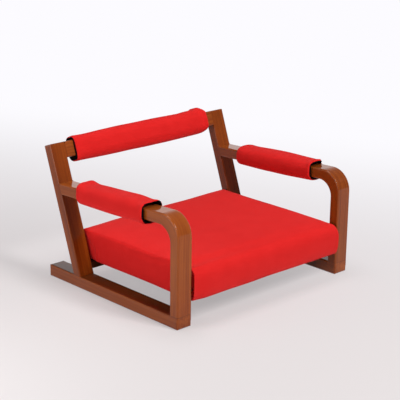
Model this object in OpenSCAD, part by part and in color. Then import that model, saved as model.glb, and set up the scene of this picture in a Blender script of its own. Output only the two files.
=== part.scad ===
// Low floor chair: two closed wooden side frames, an upholstered seat between them,
// and loose padded sleeves on the back rail and on both arms.
// Millimetres. +Z is up, the chair's front looks along -Y, and +X is on the right
// of someone who stands in front of it.
// The model is drawn with the front faces of the front legs at y = 0 and is then moved
// so that the origin is the middle of its outline on the floor.

/* [Side frames] */
// Overall width across the wood of the two side frames
chair_w = 600; // [560:5:660]
// Thickness of every side frame member, measured across the chair
side_t = 45; // [38:1:50]
// Height of the floor runners
runner_h = 31; // [26:1:36]
// Length of the floor runners
runner_l = 486; // [460:2:520]
// Distance from the front face to the foot of the back posts
post_y = 359; // [345:1:370]
// Backward lean of the back posts in degrees
lean = 19.5; // [15:0.5:23]
// Length of a back post along its front face
post_l = 340; // [320:2:370]
// Depth of the back posts
post_d = 27; // [24:1:34]
// Depth of the leg and of the arm
arm_d = 28; // [26:1:34]
// Height of the arm's top face, carried on to the front face of the leg
arm_top = 275; // [260:1:300]
// Slope of the arm down to the back in degrees
arm_slope = 2.4; // [0:0.2:4]
// Inner radius of the bend between leg and arm
bend_r = 39; // [32:1:50]
// Outer radius of the bend, tight enough to leave the wood fuller there than in the leg and the arm
bend_outer_r = 55; // [44:1:66]
// Radius on the long edges of the wood
edge_r = 4; // [2:0.5:6]
// Radius on the free ends of the wood
end_r = 5; // [2:0.5:8]

/* [Cross rails] */
// Height of the back rail along the posts
rail_h = 41; // [34:1:50]
// Thickness of the back rail
rail_d = 24; // [18:1:28]
// Height of the rear stretcher
stretcher_h = 14; // [12:1:20]
// Length of the wooden dowels
dowel_l = 40; // [30:1:44]
// Length of the shorter dowels under the back posts
post_dowel_l = 32; // [26:1:34]
// Radius of the wooden dowels
dowel_r = 4; // [3:0.5:5]
// Space round a dowel for the glue
glue_gap = 0.1; // [0.05:0.05:0.2]

/* [Seat] */
// Height of the underside of the seat cover
seat_z = 58; // [52:1:66]
// Thickness of the seat at its edge
seat_t = 84; // [76:1:100]
// Rise of the crown in the middle of the seat
crown = 5; // [2:1:12]
// How far the front of the cushion stands out in front of the legs
seat_nose = 12; // [8:1:20]
// How far the cushion stops short of the rear faces of the back posts
seat_setback = 5; // [0:1:10]
// Height of the fullest point of the cushion above its underside
nose_z = 46; // [38:1:54]
// Corner radius of the cushion seen from above
seat_corner = 6; // [4:1:22]
// How far the fabric draws in the long sides of the cushion
draw_in = 3; // [1:0.5:5]
// Thickness of the seat fabric with its backing
cover_t = 1.2; // [0.8:0.1:2]
// Thickness of the rails in the seat
rail_t = 22; // [18:1:26]
// Height of the rails in the seat
seat_rail_h = 40; // [34:1:46]
// Thickness of the plywood deck
deck_t = 9; // [6:1:12]
// Width of fabric turned in under the seat
turn_in = 26; // [22:1:30]
// Thickness of the dust cover
dust_t = 1; // [0.6:0.1:1.6]

/* [Seat fastening] */
// Radius of the bolts that hold the seat
bolt_r = 3; // [2.5:0.5:4]
// Radius of the bolt heads
bolt_head_r = 6; // [5:0.5:8]
// Height of the bolt heads
bolt_head_h = 4; // [3:0.5:6]
// Thickness of the washers
washer_t = 1.6; // [1:0.2:2.4]
// Length of the threaded inserts
insert_l = 22; // [16:1:28]
// Height of the bolts above the underside of the seat
bolt_z = 24; // [20:1:28]

/* [Sleeves] */
// Distance from the left post to the back sleeve
back_sleeve_left = 26; // [10:1:50]
// Distance from the back sleeve to the right post
back_sleeve_right = 33; // [10:1:50]
// Padding of the back sleeve at its fullest
back_pad = 11.5; // [8:0.5:16]
// How far the back sleeve hangs lower than the middle of its rail
back_sag = 2; // [0:0.5:5]
// Distance from the front face to the left arm sleeve
left_sleeve_y = 113; // [95:1:150]
// Length of the left arm sleeve as it lies
left_sleeve_l = 246; // [210:2:260]
// Distance from the front face to the right arm sleeve
right_sleeve_y = 93; // [90:1:130]
// Length of the right arm sleeve as it lies
right_sleeve_l = 268; // [220:2:290]
// Padding of the arm sleeves at their fullest
arm_pad = 10; // [6:0.5:12]
// Running gap between a sleeve and the wood
sleeve_gap = 0.4; // [0.3:0.1:1]
// How far the padded liner stops short of each end of its cover
liner_back = 2; // [0:0.5:4]

/* [Hidden] */
$fn = 48;

wood = [0.50, 0.26, 0.12];
hidden_wood = [0.80, 0.67, 0.47];
steel = [0.70, 0.70, 0.72];
red = [0.80, 0.12, 0.12];
black = [0.06, 0.06, 0.07];
foam = [0.93, 0.88, 0.72];

// Side frame geometry, in the plane of the side frame
side_x = chair_w / 2 - side_t / 2;
inner_x = chair_w / 2 - side_t;
bend_out = bend_r + arm_d;
// Heights of the two centres of the bend, on whole hundredths so that the pieces meet exactly
function centre_z(r) = round(100 * (arm_top - r * tan(arm_slope) - r / cos(arm_slope))) / 100;
bend_z = centre_z(bend_out);
outer_z = centre_z(bend_outer_r);
bend_turn = 90 + arm_slope;
// How much sooner the outer curve ends than the inner one, along the arm
bend_lead = (bend_out - bend_outer_r) * tan(bend_turn / 2);
post_foot_d = post_d / cos(lean);
post_foot_y = post_y + post_foot_d / 2;
function post_front(z) = post_y + (z - runner_h) * tan(lean);
function arm_top_at(y) = arm_top - y * tan(arm_slope);
// Where the arm's top and bottom lines meet the leaning front face of the post
function arm_meets(drop) =
    (post_y + (arm_top - drop - runner_h) * tan(lean)) / (1 + tan(arm_slope) * tan(lean));
arm_drop = arm_d / cos(arm_slope);
arm_mid_y = arm_meets(arm_drop / 2);
arm_mid_z = arm_top_at(arm_mid_y) - arm_drop / 2;
// Distance along the post from its foot to the middle of the arm joint
arm_joint = (arm_mid_z - runner_h) / cos(lean);
arm_pad_h = arm_d / cos(lean + arm_slope);
// The pieces of the arm start this far inside each other, each with this much less section
let_in = 1;
hair = 0.02;

// Back rail, measured along the post
rail_mid = post_l - rail_h / 2;
rail_l = 2 * inner_x;

// Seat geometry
seat_play = 0.3;
fabric_play = 0.2;
seat_a = inner_x - seat_play;
deck_top = seat_z + cover_t + seat_rail_h + deck_t;
seat_top = seat_z + seat_t;
seat_back = post_front(seat_top) + post_foot_d - seat_setback;
// How far the rounded edges reach in at the underside and at the crown
low_side = 5;
high_side = 12;
low_front = 12;
high_front = 34;
low_rear = 12;
high_rear = 20;
wadding = 4;
frame_a = seat_a - low_side - draw_in - cover_t - wadding;
frame_front = low_front - seat_nose + cover_t + wadding + 1;
dust_setback = 8;
frame_rear = seat_back - low_rear - wadding;
frame_z = seat_z + cover_t;
bolt_h = seat_z + bolt_z;
washer_rim = 2;
washer_edge = 0.5;
washer_r = bolt_head_r + washer_rim;
// In the middle of the leg, or as far back as the washer needs to lie on the seat's rail
front_bolt_y = max(arm_d / 2, frame_front + washer_r + washer_edge);
rear_bolt_y = post_front(bolt_h) + post_foot_d / 2;
insert_wall = 2;
insert_r = bolt_r + insert_wall;
bolt_tip = inner_x + insert_l - insert_wall;
bolt_play = 0.5;
washer_play = 0.2;
hex_socket_r = 0.8 * bolt_r;
stretcher_z = seat_z - dust_t - stretcher_h;

// Dowel places
dowel_step = side_t / 4;
rail_step = rail_h / 4;
seat_dowel_step = seat_rail_h / 4;
seat_dowel_l = 0.8 * dowel_l;
post_dowel_rise = 12;
stretcher_dowel_rise = 0.6;
stretcher_dowel_z = stretcher_z + stretcher_dowel_rise * stretcher_h;

// Cross rails of the seat stand clear of the bolt heads
head_room = bolt_head_r + 4;
cross_rails = [front_bolt_y + head_room, rear_bolt_y - head_room - rail_t];

// Sleeve places: the arm sleeves are set out along the arm from the end of the bend
arm_start_y = bend_out + bend_out * sin(arm_slope);
arm_start_z = bend_z + bend_out * cos(arm_slope);
function along_arm(y) = (y - arm_start_y) / cos(arm_slope);
sleeve_fabric = 1.2;
liner_play = 0.05;
// Padding left at the ends of a sleeve, and how quickly it fills out from there
end_share = 0.86;
swell = 0.6;
back_axis_y = rail_d / 2;

// The whole model is moved back by this so that its outline is centred on the origin
back_half_d = rail_d / 2 + sleeve_gap + back_pad + sleeve_fabric;
back_half_h = rail_h / 2 + sleeve_gap + back_pad + sleeve_fabric;
back_corner = edge_r + sleeve_gap + back_pad + sleeve_fabric;
back_mid_y = post_y + rail_mid * sin(lean) + back_axis_y * cos(lean);
rear_most = back_mid_y + (back_half_d - back_corner) * cos(lean)
    + (back_half_h - back_corner - back_sag) * sin(lean) + back_corner;
shift_y = -(rear_most - seat_nose) / 2;

module place() {
    translate([0, shift_y, 0]) children();
}

// Rounded rectangle centred on the origin
module soft_rect(w, d, r) {
    square([w, d - 2 * r], center = true);
    square([w - 2 * r, d], center = true);
    for (sx = [-1, 1], sy = [-1, 1])
        translate([sx * (w / 2 - r), sy * (d / 2 - r)]) circle(r);
}

// A straight member that stands along +Z from z = 0, centred in x, with y from 0 to d
module bar(w, d, l, r) {
    translate([0, d / 2, 0]) linear_extrude(l) soft_rect(w, d, r);
}

// Rounds the free end of a bar that stands along +Z: the top corners in both views
module end_round(w, d, l, r) {
    intersection() {
        children();
        translate([0, d + 1, 0]) rotate([90, 0, 0]) linear_extrude(d + 2) end_outline(w, l, r);
        translate([-w / 2 - 1, d / 2, 0]) rotate([90, 0, 90]) linear_extrude(w + 2) end_outline(d, l, r);
    }
}

// An outline of width w that is square below zero and rounded at height l
module end_outline(w, l, r) {
    translate([-w / 2, -l]) square([w, 2 * l - r]);
    translate([-w / 2 + r, -l]) square([w - 2 * r, 2 * l]);
    for (s = [-1, 1]) translate([s * (w / 2 - r), l - r]) circle(r);
}

module dowel(l, r) {
    cylinder(h = l, r = r, center = true);
}

// Holes and dowels share these places. grow widens a dowel into its hole.
module leg_dowel_set(grow) {
    for (s = [-1, 1])
        translate([s * dowel_step, arm_d / 2, runner_h]) dowel(dowel_l + 2 * grow, dowel_r + grow);
}

module post_dowel_set(grow) {
    for (s = [-1, 1])
        translate([s * dowel_step, post_foot_y, runner_h + post_dowel_rise - post_dowel_l / 2])
            dowel(post_dowel_l + 2 * grow, dowel_r + grow);
}

module arm_dowel_set(grow) {
    for (s = [-1, 1])
        translate([s * dowel_step, arm_mid_y, arm_mid_z])
            rotate([90 - arm_slope, 0, 0]) dowel(dowel_l + 2 * grow, dowel_r + grow);
}

// Local frame of a back post: z runs up its front face, y into its depth
module post_frame() {
    translate([0, post_y, runner_h]) rotate([-lean, 0, 0]) children();
}

module back_rail_dowel_set(grow) {
    for (side = [-1, 1], s = [-1, 1])
        post_frame()
            translate([side * inner_x, back_axis_y, rail_mid + s * rail_step])
                rotate([0, 90, 0]) dowel(dowel_l + 2 * grow, dowel_r + grow);
}

module stretcher_dowel_set(grow) {
    mid_y = post_front(stretcher_dowel_z) + post_foot_d / 2;
    for (side = [-1, 1], s = [-1, 1])
        translate([side * inner_x, mid_y + s * post_d / 4, stretcher_dowel_z])
            rotate([0, 90, 0]) dowel(dowel_l + 2 * grow, dowel_r + grow);
}

// Holes in the legs and posts for the seat's threaded inserts, on the +X side
module insert_holes() {
    for (y = [front_bolt_y, rear_bolt_y])
        translate([inner_x - 1, y, bolt_h]) rotate([0, 90, 0])
            cylinder(h = insert_l + 2, r = insert_r + glue_gap);
}

// The members of the side frame are drawn on the +X side; the left ones are mirrored
module runner() {
    difference() {
        translate([side_x, 0, 0]) {
            // The long edges are rounded, and both ends are rounded where they are free
            intersection() {
                translate([0, 0, runner_h / 2]) rotate([-90, 0, 0])
                    linear_extrude(runner_l) soft_rect(side_t, runner_h, edge_r);
                translate([0, runner_l / 2, -1]) linear_extrude(runner_h + 2)
                    soft_rect(side_t, runner_l, end_r);
                translate([-side_t / 2 - 1, 0, 0]) rotate([90, 0, 90])
                    linear_extrude(side_t + 2) runner_side();
            }
            // The runner stays square on top where the leg and the post stand on it
            translate([0, 0, runner_h / 2]) bar(side_t, arm_d, runner_h / 2, edge_r);
            translate([0, post_y, runner_h / 2]) bar(side_t, post_foot_d, runner_h / 2, edge_r);
        }
        translate([side_x, 0, 0]) {
            leg_dowel_set(glue_gap);
            post_dowel_set(glue_gap);
        }
    }
}

// Side view of a runner: rounded at both ends below, and at the back end above
module runner_side() {
    translate([0, runner_h / 2]) square([runner_l / 2, runner_h / 2]);
    translate([0, end_r]) square([runner_l, runner_h - 2 * end_r]);
    translate([end_r, 0]) square([runner_l - 2 * end_r, runner_h]);
    for (p = [[end_r, end_r], [runner_l - end_r, end_r], [runner_l - end_r, runner_h - end_r]])
        translate(p) circle(end_r);
}

module back_post() {
    difference() {
        translate([side_x, 0, 0]) intersection() {
            post_frame() {
                end_round(side_t, post_d, post_l, end_r)
                    translate([0, 0, -post_d]) bar(side_t, post_d, post_l + post_d, edge_r);
                // Square shoulders where the arm and the back rail butt against the post
                translate([-side_t / 2, 0, arm_joint - arm_pad_h / 2])
                    cube([side_t, post_d / 2, arm_pad_h]);
                translate([-side_t / 2, 0, post_l - rail_h])
                    cube([side_t / 2, rail_d, rail_h - end_r]);
            }
            translate([-side_t, 0, runner_h]) cube([2 * side_t, 2 * runner_l, 2 * post_l]);
        }
        translate([side_x, 0, 0]) {
            post_dowel_set(glue_gap);
            arm_dowel_set(glue_gap);
        }
        back_rail_dowel_set(glue_gap);
        stretcher_dowel_set(glue_gap);
        insert_holes();
    }
}

// A strip from x = 0 to x = l with rounded corners at x = 0, centred in y
module half_soft(l, w, r) {
    translate([0, r - w / 2]) square([l, w - 2 * r]);
    translate([r, -w / 2]) square([l - r, w]);
    for (s = [-1, 1]) translate([r, s * (w / 2 - r)]) circle(r);
}

// Turns a flat shape, drawn out along +X, round the bend's axis from the leg up to the arm
module round_bend(y, z) {
    translate([0, y, z]) rotate([90, 0, -90])
        rotate_extrude(angle = bend_turn, $fn = 96) children();
}

// What the inner curve leaves of its sector. less makes it smaller all round.
module inside_curve(less) {
    round_bend(bend_out, bend_z)
        translate([bend_r + less, 0]) half_soft(2 * arm_d, side_t - 2 * less, edge_r - less);
}

// The wood of the bend: a tighter curve outside than inside
module bend() {
    intersection() {
        inside_curve(0);
        union() {
            round_bend(bend_outer_r, outer_z)
                translate([bend_outer_r, 0]) mirror([1, 0]) half_soft(bend_outer_r, side_t, edge_r);
            translate([0, 0, bend_z - let_in]) rotate([0, 0, 90])
                linear_extrude(outer_z - bend_z + let_in) half_soft(bend_out, side_t, edge_r);
        }
    }
    // The outer curve ends before the inner one, and the top runs straight in between
    intersection() {
        inside_curve(hair);
        arm_frame() translate([0, hair, -bend_lead - let_in]) rotate([0, 0, 90])
            linear_extrude(2 * bend_lead) half_soft(bend_out, side_t - 2 * hair, edge_r - hair);
    }
}

// Local frame of the arm: z runs back along its top face, y down into its depth
module arm_frame() {
    translate([0, arm_start_y, arm_start_z]) rotate([-arm_slope - 90, 0, 0]) children();
}

// Front leg and arm are one bent member
module bent_arm() {
    difference() {
        translate([side_x, 0, 0]) {
            translate([0, 0, runner_h]) bar(side_t, arm_d, bend_z - runner_h, edge_r);
            bend();
            intersection() {
                // The straight part runs a little way into the bend, with a hair less section again
                arm_frame() translate([0, 2 * hair, -let_in])
                    bar(side_t - 4 * hair, arm_d - 4 * hair, runner_l, edge_r - 2 * hair);
                // Everything in front of the post's leaning front face
                post_frame() translate([-side_t, -2 * runner_l, -post_l])
                    cube([2 * side_t, 2 * runner_l, 3 * post_l]);
            }
        }
        translate([side_x, 0, 0]) {
            leg_dowel_set(glue_gap);
            arm_dowel_set(glue_gap);
        }
        insert_holes();
    }
}

module left_side() {
    mirror([1, 0, 0]) children();
}

module left_runner() color(wood) place() left_side() runner();
module right_runner() color(wood) place() runner();
module left_back_post() color(wood) place() left_side() back_post();
module right_back_post() color(wood) place() back_post();
module left_arm() color(wood) place() left_side() bent_arm();
module right_arm() color(wood) place() bent_arm();

module back_rail() color(wood) place() difference() {
    post_frame() translate([-rail_l / 2, rail_d / 2, rail_mid]) rotate([0, 90, 0])
        linear_extrude(rail_l) soft_rect(rail_h, rail_d, edge_r);
    back_rail_dowel_set(glue_gap);
}

// The stretcher leans with the posts, and its top and bottom are planed level
module rear_stretcher() color(wood) place() difference() {
    translate([-rail_l / 2, 0, 0]) rotate([90, 0, 90]) linear_extrude(rail_l) polygon([
        [post_front(stretcher_z), stretcher_z],
        [post_front(stretcher_z) + post_foot_d, stretcher_z],
        [post_front(stretcher_z + stretcher_h) + post_foot_d, stretcher_z + stretcher_h],
        [post_front(stretcher_z + stretcher_h), stretcher_z + stretcher_h]
    ]);
    stretcher_dowel_set(glue_gap);
}

module leg_dowels() color(hidden_wood) place()
    for (s = [-1, 1]) translate([s * side_x, 0, 0]) leg_dowel_set(0);
module post_dowels() color(hidden_wood) place()
    for (s = [-1, 1]) translate([s * side_x, 0, 0]) post_dowel_set(0);
module arm_dowels() color(hidden_wood) place()
    for (s = [-1, 1]) translate([s * side_x, 0, 0]) arm_dowel_set(0);
module back_rail_dowels() color(hidden_wood) place() back_rail_dowel_set(0);
module stretcher_dowels() color(hidden_wood) place() stretcher_dowel_set(0);

// Seat frame: two long side rails with the front and rear rails doweled between them
module seat_dowel_set(grow) {
    for (side = [-1, 1], y = cross_rails, s = [-1, 1])
        translate([side * (frame_a - rail_t), y + rail_t / 2,
            frame_z + seat_rail_h / 2 + s * seat_dowel_step])
            rotate([0, 90, 0]) dowel(seat_dowel_l + 2 * grow, dowel_r + grow);
}

module bolt_holes() {
    for (side = [-1, 1], y = [front_bolt_y, rear_bolt_y])
        translate([side * (inner_x + frame_a - rail_t) / 2, y, bolt_h]) rotate([0, 90, 0])
            cylinder(h = inner_x - frame_a + rail_t + 2, r = bolt_r + bolt_play, center = true);
}

module seat_side_rail() {
    difference() {
        translate([frame_a - rail_t, frame_front, frame_z])
            cube([rail_t, frame_rear - frame_front, seat_rail_h]);
        seat_dowel_set(glue_gap);
        bolt_holes();
        screw_set(glue_gap);
    }
}

module seat_cross_rail(y) {
    difference() {
        translate([-(frame_a - rail_t), y, frame_z]) cube([2 * (frame_a - rail_t), rail_t, seat_rail_h]);
        seat_dowel_set(glue_gap);
        screw_set(glue_gap);
    }
}

module left_seat_rail() color(hidden_wood) place() left_side() seat_side_rail();
module right_seat_rail() color(hidden_wood) place() seat_side_rail();
module front_seat_rail() color(hidden_wood) place() seat_cross_rail(cross_rails[0]);
module rear_seat_rail() color(hidden_wood) place() seat_cross_rail(cross_rails[1]);
module seat_rail_dowels() color(hidden_wood) place() seat_dowel_set(0);

// Countersunk screws that hold the deck down, set in from its edges
screw_l = 30;
screw_r = 2;
screw_head_r = 4;
screw_head_h = 2.4;
screw_shares = [0.2, 0.5, 0.8];
module screw(grow) {
    translate([0, 0, deck_top - screw_l - grow]) cylinder(h = screw_l + grow, r = screw_r + grow);
    translate([0, 0, deck_top - screw_head_h])
        cylinder(h = screw_head_h, r1 = screw_r + grow, r2 = screw_head_r + grow);
}

module screw_set(grow) {
    for (side = [-1, 1], u = screw_shares)
        translate([side * (frame_a - rail_t / 2), frame_front + u * (frame_rear - frame_front), 0])
            screw(grow);
    for (x = [-1, 0, 1], y = cross_rails)
        translate([x * frame_a / 2, y + rail_t / 2, 0]) screw(grow);
}

module seat_deck() color(hidden_wood) place() difference() {
    translate([-frame_a, frame_front, deck_top - deck_t])
        cube([2 * frame_a, frame_rear - frame_front, deck_t]);
    screw_set(glue_gap);
}

module deck_screws() color(steel) place() screw_set(0);

// Cushion form. Each ring is a rounded outline whose long sides draw in between the corners.
corner_steps = 4;
edge_steps = 6;
function corner_points(cx, cy, r, from) =
    [for (i = [0:corner_steps]) let (t = from + 90 * i / corner_steps) [cx + r * cos(t), cy + r * sin(t)]];
function edge_points(p, q, inward) =
    [for (i = [1:edge_steps - 1]) let (u = i / edge_steps) p + (q - p) * u + inward * sin(180 * u)];
function outline(a, f, b, r, draw) = concat(
    corner_points(a - r, b - r, r, 0),
    edge_points([a - r, b], [r - a, b], [0, -draw]),
    corner_points(r - a, b - r, r, 90),
    edge_points([-a, b - r], [-a, f + r], [draw, 0]),
    corner_points(r - a, f + r, r, 180),
    edge_points([r - a, f], [a - r, f], [0, draw / 2]),
    corner_points(a - r, f + r, r, 270),
    edge_points([a, f + r], [a, b - r], [-draw, 0])
);

// Turns round the edge of the cushion, from the flat underside to the crown
side_turns = [-90, -65, -40, -15, 10, 32, 52, 70, 90];
fullness = 0.8;
function edge_inset(t, low, high) = (t < 0 ? low : high) * (1 - pow(cos(t), fullness));
function edge_height(t, g) =
    t < 0 ? seat_z + nose_z - (nose_z - g) * pow(-sin(t), fullness)
          : seat_z + nose_z + (seat_t - nose_z - g) * pow(sin(t), fullness);
function seat_ring(t, g) = [for (p = outline(
        seat_a - g - edge_inset(t, low_side, high_side),
        g - seat_nose + edge_inset(t, low_front, high_front),
        seat_back - g - edge_inset(t, low_rear, high_rear),
        seat_corner - g, draw_in)) [p.x, p.y, edge_height(t, g)]];

// Rings of the crown close in on the middle of the seat
crown_steps = [0.82, 0.6, 0.3];
seat_mid_y = (seat_back - seat_nose + high_front - high_rear) / 2;
function crown_ring(s, g) = [for (p = seat_ring(90, g))
    [p.x * s, seat_mid_y + (p.y - seat_mid_y) * s, p.z + crown * (1 - s * s)]];
function seat_rings(g) = concat(
    [for (t = side_turns) seat_ring(t, g)],
    [for (s = crown_steps) crown_ring(s, g)]);

// Triangles of the wall between two neighbouring rings of n points
function wall(n, rings, base, flip) = [for (j = [0:rings - 2], i = [0:n - 1])
    let (a = base + j * n + i, b = base + j * n + (i + 1) % n, c = b + n, d = a + n)
    each flip ? [[a, c, d], [a, b, c]] : [[a, d, c], [a, c, b]]];

// A closed solid through rings that run upwards, with a middle point at each end
module closed_form(rings, low, high) {
    n = len(rings[0]);
    m = len(rings);
    points = concat([for (r = rings) each r], [low, high]);
    polyhedron(points, concat(
        wall(n, m, 0, false),
        [for (i = [0:n - 1]) [n * m, i, (i + 1) % n]],
        [for (i = [0:n - 1]) [n * m + 1, n * (m - 1) + (i + 1) % n, n * (m - 1) + i]]
    ));
}

module seat_form(g) {
    closed_form(seat_rings(g), [0, seat_mid_y, seat_z + g], [0, seat_mid_y, seat_top - g + crown]);
}

module seat_frame_block() {
    translate([-frame_a, frame_front, seat_z - 1])
        cube([2 * frame_a, frame_rear - frame_front, deck_top - seat_z + 1]);
}

module seat_foam() color(foam) place() difference() {
    seat_form(cover_t + fabric_play);
    seat_frame_block();
    bolt_holes();
}

module seat_cover() color(red) place() difference() {
    seat_form(0);
    seat_form(cover_t);
    translate([-frame_a + turn_in, frame_front + turn_in, seat_z - 1])
        cube([2 * (frame_a - turn_in), frame_rear - frame_front - 2 * turn_in, cover_t + 2]);
    bolt_holes();
}

module dust_cover() color(black) place()
    translate([-frame_a, frame_front + dust_setback, seat_z - dust_t])
        cube([2 * frame_a, frame_rear - frame_front - 2 * dust_setback, dust_t]);

// Bolts run outwards from inside the seat frame into inserts in the legs and the posts
module bolt_places() {
    for (side = [0, 1], y = [front_bolt_y, rear_bolt_y])
        mirror([side, 0, 0]) translate([0, y, bolt_h]) rotate([0, 90, 0]) children();
}

bolt_seat = frame_a - rail_t;
module seat_bolts() color(steel) place() bolt_places() {
    translate([0, 0, bolt_seat - washer_t]) cylinder(h = bolt_tip - bolt_seat + washer_t, r = bolt_r);
    difference() {
        translate([0, 0, bolt_seat - washer_t - bolt_head_h]) cylinder(h = bolt_head_h, r = bolt_head_r);
        translate([0, 0, bolt_seat - washer_t - bolt_head_h - 1])
            cylinder(h = bolt_head_h / 2 + 1, r = hex_socket_r, $fn = 6);
    }
}

module bolt_washers() color(steel) place() bolt_places()
    translate([0, 0, bolt_seat - washer_t]) difference() {
        cylinder(h = washer_t, r = washer_r);
        translate([0, 0, -1]) cylinder(h = washer_t + 2, r = bolt_r + washer_play);
    }

module threaded_inserts() color(steel) place() bolt_places()
    translate([0, 0, inner_x]) difference() {
        cylinder(h = insert_l, r = insert_r);
        translate([0, 0, -1]) cylinder(h = insert_l - 1 + glue_gap, r = bolt_r + glue_gap);
    }

// Sleeves. A loop is a rounded rectangle of half sizes a and b at height z, moved by x.
loop_steps = 4;
function loop(a, b, r, z, x = 0) = [for (q = [0:3], i = [0:loop_steps])
    let (t = q * 90 + 90 * i / loop_steps, sx = (q == 0 || q == 3) ? 1 : -1, sy = q < 2 ? 1 : -1)
    [x + sx * (a - r) + r * cos(t), sy * (b - r) + r * sin(t), z]];

// Padding at the share u of the sleeve's length: full in the middle, less at both ends.
// It runs straight between the steps, so that a cover and its liner keep side by side.
sleeve_steps = 8;
padding_table = [for (i = [0:sleeve_steps]) let (u = i / sleeve_steps)
    [u, end_share + (1 - end_share) * pow(sin(180 * u), swell)]];
function padding(u, full) = full * lookup(u, padding_table);

// Rings of a sleeve surface on a bar of section w by d, set back from both ends
function sleeve_rings(w, d, l, full, sag, extra, back) = [for (i = [0:sleeve_steps])
    let (z = max(back, min(l - back, l * i / sleeve_steps)), p = sleeve_gap + padding(z / l, full) + extra)
    loop(w / 2 + p, d / 2 + p, edge_r + p, z, sag)];
function bore_rings(w, d, from, to) = [for (z = [from, to])
    loop(w / 2 + sleeve_gap, d / 2 + sleeve_gap, edge_r + sleeve_gap, z)];

// A tube between an outer and an inner set of rings with equal point counts
module tube_form(outer, inner) {
    n = len(outer[0]);
    m = len(outer);
    k = len(inner);
    base = n * m;
    points = concat([for (r = outer) each r], [for (r = inner) each r]);
    top_o = n * (m - 1);
    top_i = base + n * (k - 1);
    polyhedron(points, concat(
        wall(n, m, 0, false),
        wall(n, k, base, true),
        [for (i = [0:n - 1]) let (j = (i + 1) % n) each [[i, j, base + j], [i, base + j, base + i]]],
        [for (i = [0:n - 1]) let (j = (i + 1) % n)
            each [[top_o + i, top_i + j, top_o + j], [top_o + i, top_i + i, top_i + j]]]
    ));
}

module sleeve_liner(w, d, l, full, sag = 0) {
    tube_form(sleeve_rings(w, d, l, full, sag, 0, liner_back), bore_rings(w, d, liner_back, l - liner_back));
}

module sleeve_cover(w, d, l, full, sag = 0) {
    tube_form(sleeve_rings(w, d, l, full, sag, sleeve_fabric, 0),
        sleeve_rings(w, d, l, full, sag, liner_play, 0));
}

// Sleeve frames: z runs along the rail or the arm
module back_sleeve_frame() {
    post_frame() translate([back_sleeve_left - inner_x, back_axis_y, rail_mid]) rotate([0, 90, 0]) children();
}
back_sleeve_l = 2 * inner_x - back_sleeve_left - back_sleeve_right;

module arm_sleeve_frame(side, y) {
    translate([side * side_x, arm_start_y, arm_start_z]) rotate([-arm_slope - 90, 0, 0])
        translate([0, arm_d / 2, along_arm(y)]) children();
}

module back_sleeve_liner() color(black) place() back_sleeve_frame()
    sleeve_liner(rail_h, rail_d, back_sleeve_l, back_pad, back_sag);
module back_sleeve_cover() color(red) place() back_sleeve_frame()
    sleeve_cover(rail_h, rail_d, back_sleeve_l, back_pad, back_sag);
module left_sleeve_liner() color(black) place() arm_sleeve_frame(-1, left_sleeve_y)
    sleeve_liner(side_t, arm_d, left_sleeve_l, arm_pad);
module left_sleeve_cover() color(red) place() arm_sleeve_frame(-1, left_sleeve_y)
    sleeve_cover(side_t, arm_d, left_sleeve_l, arm_pad);
module right_sleeve_liner() color(black) place() arm_sleeve_frame(1, right_sleeve_y)
    sleeve_liner(side_t, arm_d, right_sleeve_l, arm_pad);
module right_sleeve_cover() color(red) place() arm_sleeve_frame(1, right_sleeve_y)
    sleeve_cover(side_t, arm_d, right_sleeve_l, arm_pad);

left_runner();
right_runner();
left_back_post();
right_back_post();
left_arm();
right_arm();
back_rail();
rear_stretcher();
leg_dowels();
post_dowels();
arm_dowels();
back_rail_dowels();
stretcher_dowels();
left_seat_rail();
right_seat_rail();
front_seat_rail();
rear_seat_rail();
seat_rail_dowels();
seat_deck();
deck_screws();
seat_foam();
seat_cover();
dust_cover();
seat_bolts();
bolt_washers();
threaded_inserts();
back_sleeve_liner();
back_sleeve_cover();
left_sleeve_liner();
left_sleeve_cover();
right_sleeve_liner();
right_sleeve_cover();
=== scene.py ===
"""Looks of a low floor chair: lacquered side frames, an upholstered seat and three loose padded sleeves.

Metres. +Z is up, the front of the chair looks along -Y, and +X is on the right of someone who stands
in front of it. Sizes with mm in their name are millimetres.
"""

import math

import bpy
import numpy as np
from mathutils import Matrix, Vector, noise


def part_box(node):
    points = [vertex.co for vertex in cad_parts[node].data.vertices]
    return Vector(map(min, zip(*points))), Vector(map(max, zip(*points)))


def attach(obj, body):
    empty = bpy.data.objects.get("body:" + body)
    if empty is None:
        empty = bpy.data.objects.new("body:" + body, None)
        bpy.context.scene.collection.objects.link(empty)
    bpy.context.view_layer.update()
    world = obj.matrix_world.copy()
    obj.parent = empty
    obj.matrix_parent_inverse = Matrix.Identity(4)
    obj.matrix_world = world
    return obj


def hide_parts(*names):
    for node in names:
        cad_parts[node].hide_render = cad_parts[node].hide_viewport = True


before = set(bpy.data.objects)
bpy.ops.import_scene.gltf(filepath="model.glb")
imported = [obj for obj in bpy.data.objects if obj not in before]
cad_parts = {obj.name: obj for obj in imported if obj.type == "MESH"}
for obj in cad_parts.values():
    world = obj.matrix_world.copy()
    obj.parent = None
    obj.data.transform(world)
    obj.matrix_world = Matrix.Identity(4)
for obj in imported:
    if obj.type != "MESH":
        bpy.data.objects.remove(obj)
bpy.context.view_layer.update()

MM = 0.001

# The drawing's own zero is the front face of the front legs
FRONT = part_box("left_arm")[0].y
RUNNER_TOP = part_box("left_runner")[1].z
INNER_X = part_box("right_arm")[0].x
SIDE_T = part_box("right_arm")[1].x - INNER_X
SIDE_X = INNER_X + SIDE_T / 2
POST_FOOT = FRONT + 359 * MM
LEAN = math.radians(19.5)
ARM_D = 28 * MM
ARM_SLOPE = math.radians(2.4)
BEND_R = 39 * MM
ARM_TOP = 275 * MM
EDGE_R = 4 * MM
BEND_OUT = BEND_R + ARM_D
BEND_Y = FRONT + BEND_OUT
BEND_Z = ARM_TOP - BEND_OUT * math.tan(ARM_SLOPE) - BEND_OUT / math.cos(ARM_SLOPE)


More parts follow.
